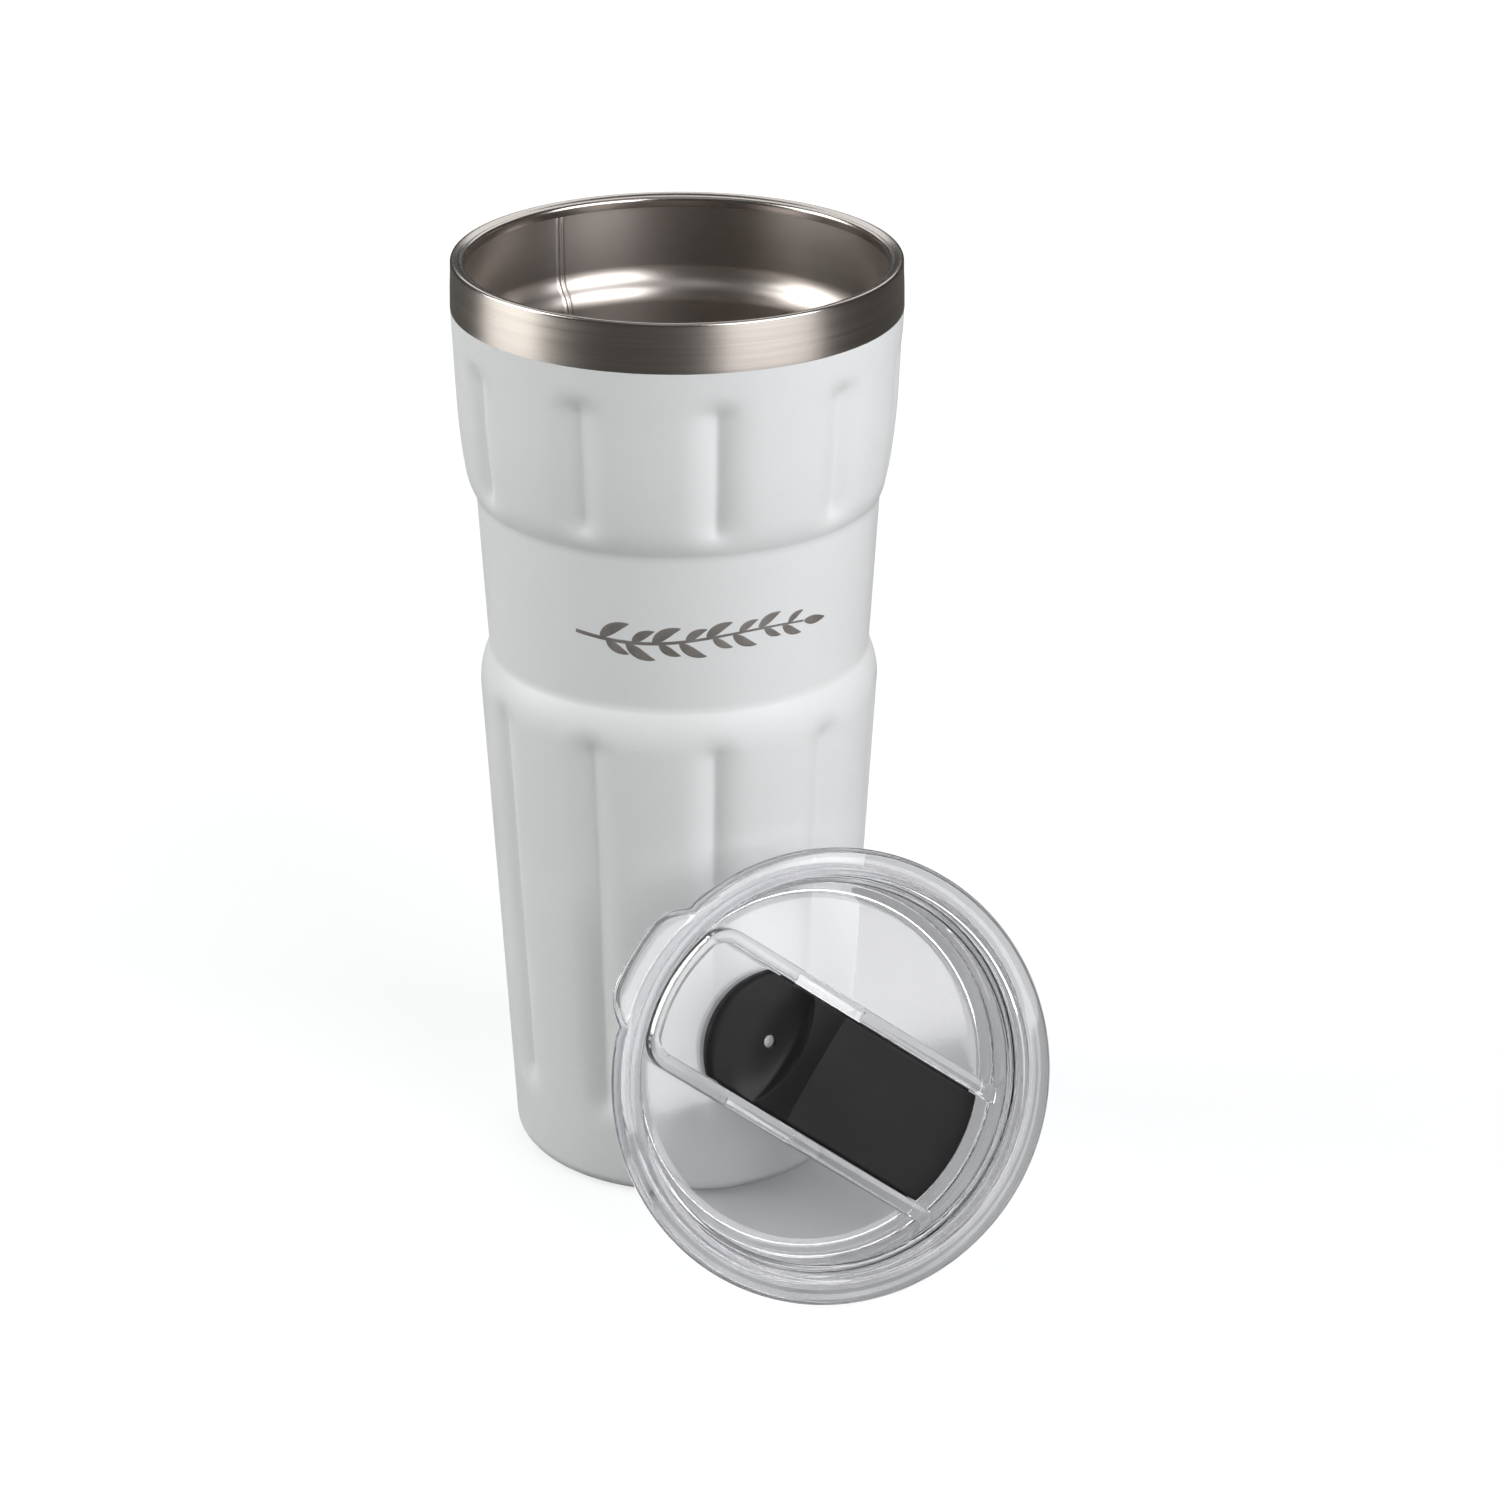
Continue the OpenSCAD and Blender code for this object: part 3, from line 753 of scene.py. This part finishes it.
def on_arc(line, y, way=1):
    """x of one of those lines at y, on the right-hand side of its centre, or with way -1 on the left."""
    centre, r = line
    return centre + way * math.sqrt(r * r - y * y)


def cover_row(y):
    """(x, z) points along the cover's top at one y: thumb pad, ridge, sloping strip and flat end."""
    middle = 1 - (y / HALF_W) ** 2
    nose = on_arc(NOSE_ARC, y, -1)
    ridge = on_arc(RIDGE_ARC, y)
    strip = on_arc(STRIP_ARC, y) + 0.012 * y * y
    end = on_arc(END_ARC, y)
    foot = 0.15 + 1.35 * middle

    def pad(x):
        u = (x - nose) / (ridge - nose)
        plane = COVER_TOP - 0.1 + 1.25 * smooth((u - 0.05) * 1.05) * (0.35 + 0.65 * u)
        return plane - BOWL * middle ** 1.1 * smooth((u - 0.36) / 0.58) ** 1.3

    pad_from, pad_to = nose + 1.05, ridge - foot - 0.25
    row = [(nose + dx, COVER_TOP - dz) for dx, dz in ((0, 0.75), (0.12, 0.5), (0.5, 0.34), (0.8, 0.22))]
    row += [(x, pad(x)) for x in np.linspace(pad_from, pad_to, 15)]
    low = pad(pad_to)
    for run, rise in ((0.12, 0.04), (0.3, 0.18), (0.55, 0.52), (0.8, 0.86), (0.93, 0.975)):
        row.append((pad_to + (ridge - pad_to) * run, low + (CREST - low) * rise))
    row += [(ridge, CREST), (ridge + 0.25, CREST - 0.03)]
    for u in (0.15, 0.35, 0.55, 0.75, 0.9):
        row.append((ridge + (strip - ridge) * u, CREST - (CREST - COVER_TOP + 0.12) * u ** 1.25))
    row += [(strip + dx, COVER_TOP - dz) for dx, dz in ((-0.18, 0.10), (0, 0.12), (0.1, 0.02))]
    row += [(x, COVER_TOP) for x in np.linspace(strip + 0.3, end - 0.5, 11)]
    return row + [(end - 0.15, COVER_TOP - 0.08), (end, COVER_TOP - 0.3)]


# (distance in from the long edge, drop there): the long edges are rounded over
EDGE_DROPS = ((0.0, 0.32), (0.03, 0.14), (0.15, 0.04), (0.4, 0.0))
edge_rows = [(HALF_W - dy, drop) for dy, drop in EDGE_DROPS]
stations = [(-y, drop) for y, drop in edge_rows] + [(y, 0.0) for y in np.linspace(-11.3, 11.3, 41)]
stations += edge_rows[::-1]
rows = [[(x, y, z - drop) for x, z in cover_row(y)] for y, drop in stations]
n, k = len(rows), len(rows[0])
verts = [p for row in rows for p in row]
faces = [(j * k + i, j * k + i + 1, (j + 1) * k + i + 1, (j + 1) * k + i)
         for j in range(n - 1) for i in range(k - 1)]
rim = list(range(k)) + [j * k + k - 1 for j in range(1, n)]
rim += [(n - 1) * k + i for i in range(k - 2, -1, -1)] + [j * k for j in range(n - 2, 0, -1)]
base = len(verts)
verts += [(verts[i][0], verts[i][1], COVER_LOW) for i in rim]
below = list(range(base, base + len(rim)))
faces += [(a, b, d, c) for a, b, c, d in zip(rim, rim[1:] + rim[:1], below, below[1:] + below[:1])]
faces.append(tuple(below))
cover = bare_object("cover", verts, faces)
hole = bare_object("hole", *prism(round_plan(VENT_X, VENT_R, 7.5), -15.5, -9.0))
steps = [(hole, "DIFFERENCE")]
for s in (-1, 1):
    tongue = side_box("tongue", s, (-16, 30), (HALF_W - 0.3, HALF_W + 0.4), (-13.8, -13.0))
    steps.append((tongue, "UNION"))
combine(cover, steps)
settle(cover, "drink_cover", "cover", BLACK, 32)
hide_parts("slider")

# ---------------------------------------------------------------- floor
# The floor is pale to the eye. Rays that come through the lid, or that light the object, meet a darker table.
FLOOR_HALF = 6.0
FLOOR_DROP = 0.0002


def floor_material():
    t = material_tree("pale_floor")
    place = t.object_place()
    away = t.add("ShaderNodeVectorMath", {"operation": "LENGTH"})
    t.set(away, 0, place)
    depth = t.add("ShaderNodeSeparateXYZ")
    t.set(depth, 0, place)
    tone = t.ramp(t.noise(3.0, 2.0, 0.5), 0.3, 0.7)

    pale = t.add("ShaderNodeBsdfPrincipled", None,
                 Base_Color=t.mix(tone, (0.30, 0.302, 0.304, 1), (0.32, 0.322, 0.324, 1)),
                 Emission_Strength=t.ramp(away.outputs["Value"], 0.15, 1.3, 0.74, 1.0))
    pale.inputs["Roughness"].default_value = 0.6
    pale.inputs["Specular IOR Level"].default_value = 0.0
    pale.inputs["Emission Color"].default_value = (0.99, 0.995, 1.0, 1)

    # Painted light: the table seen through the lid glows faintly, which lifts its shade. It is darker towards
    # the back and glows a little more there.
    near = t.mix(tone, (0.31, 0.315, 0.32, 1), (0.33, 0.335, 0.34, 1))
    grey = t.add("ShaderNodeBsdfPrincipled", None,
                 Base_Color=t.mix(t.ramp(depth.outputs["Y"], 0.0, 0.16), near, (0.225, 0.228, 0.232, 1)),
                 Emission_Strength=t.ramp(depth.outputs["Y"], -0.01, 0.14, 0.125, 0.15))
    grey.inputs["Roughness"].default_value = 0.6
    grey.inputs["Specular IOR Level"].default_value = 0.0
    grey.inputs["Emission Color"].default_value = (0.98, 0.99, 1.0, 1)

    dim = t.add("ShaderNodeBsdfDiffuse", None,
                Color=t.mix(tone, (0.39, 0.40, 0.40, 1), (0.41, 0.42, 0.42, 1)))
    unseen = t.by_ray("Is Transmission Ray", dim.outputs[0], grey.outputs[0])
    return t.done(t.by_ray("Is Camera Ray", unseen, pale.outputs[0]))


corners = [(x * FLOOR_HALF, y * FLOOR_HALF, 0) for x, y in ((-1, -1), (1, -1), (1, 1), (-1, 1))]
floor = bare_object("floor", corners, [(0, 1, 2, 3)])
floor.data.materials.append(floor_material())
floor.location.z = -FLOOR_DROP
floor.visible_glossy = False

# ---------------------------------------------------------------- lights
NEUTRAL = (1, 1, 1)
WARM_PINK = (1.0, 0.992, 1.012)
FAINT_GREEN = (0.993, 1.0, 0.985)


def softbox(name, az, dist, height, size, power, aim_z, colour):
    """A rectangular light that stands az degrees round from the front and is aimed at the tumbler's axis."""
    light = bpy.data.lights.new(name, "AREA")
    light.shape = "RECTANGLE"
    light.size, light.size_y = size
    light.energy = power
    light.color = colour
    ob = bpy.data.objects.new(name, light)
    scene.collection.objects.link(ob)
    a = math.radians(az)
    ob.location = (dist * math.sin(a), -dist * math.cos(a), height)
    ob.rotation_euler = (Vector((0, 0, aim_z)) - ob.location).to_track_quat("-Z", "Y").to_euler()


# The key's lower edge stands so that only the upper half of the leaning lid mirrors it.
# The skirt below it is faint.
softbox("key_right", 48, 1.16, 0.836, (1.2, 1.155), 20.6, 0.43, WARM_PINK)
softbox("key_skirt", 48, 1.37, 0.25, (1.2, 0.09), 0.04, -0.23, WARM_PINK)
softbox("fill_left", -90, 1.2, 0.72, (0.9, 1.4), 17.0, 0.3, FAINT_GREEN)
softbox("top", 20, 0.25, 1.5, (1.2, 1.2), 2.0, 0.1, NEUTRAL)
softbox("back", 180, 1.5, 1.35, (2.2, 1.0), 10.0, 0.1, NEUTRAL)


def studio_world():
    """White to the eye and through the lid, and nearly dark to what lights the object or mirrors in it."""
    t = Tree(bpy.data.worlds.new("studio"), "ShaderNodeOutputWorld")

    def background(colour, strength):
        return t.add("ShaderNodeBackground", None, Color=(*colour, 1), Strength=strength).outputs[0]

    lighting = background((0.95, 0.975, 1.0), 0.04)
    shader = t.by_ray("Is Glossy Ray", lighting, background((1.0, 0.98, 0.95), 0.09))
    shader = t.by_ray("Is Transmission Ray", shader, background((0.97, 0.975, 0.985), 0.8))
    return t.done(t.by_ray("Is Camera Ray", shader, background((0.97, 0.975, 0.98), 1.0)))


scene.world = studio_world()
scene.view_settings.view_transform = "Standard"

# ---------------------------------------------------------------- camera
# It stands in front of the tumbler, looks a little down, and is turned and rolled very slightly.
EYE = Vector((0, -0.7564, 0.4197))
TURN, DOWN, ROLL = 0.018978, 0.416816, 0.0023
SENSOR = 36.0
LENS = 97.08

forward = Vector((math.sin(TURN) * math.cos(DOWN), math.cos(TURN) * math.cos(DOWN), -math.sin(DOWN)))
level = Vector((math.cos(TURN), -math.sin(TURN), 0))
upright = level.cross(forward)
right = math.cos(ROLL) * level + math.sin(ROLL) * upright
up = math.cos(ROLL) * upright - math.sin(ROLL) * level
camera = bpy.data.cameras.new("camera")
camera.sensor_width = SENSOR
camera.lens = LENS
camera_ob = bpy.data.objects.new("camera", camera)
scene.collection.objects.link(camera_ob)
pose = Matrix((right, up, -forward)).transposed().to_4x4()
pose.translation = EYE
camera_ob.matrix_world = pose
scene.camera = camera_ob
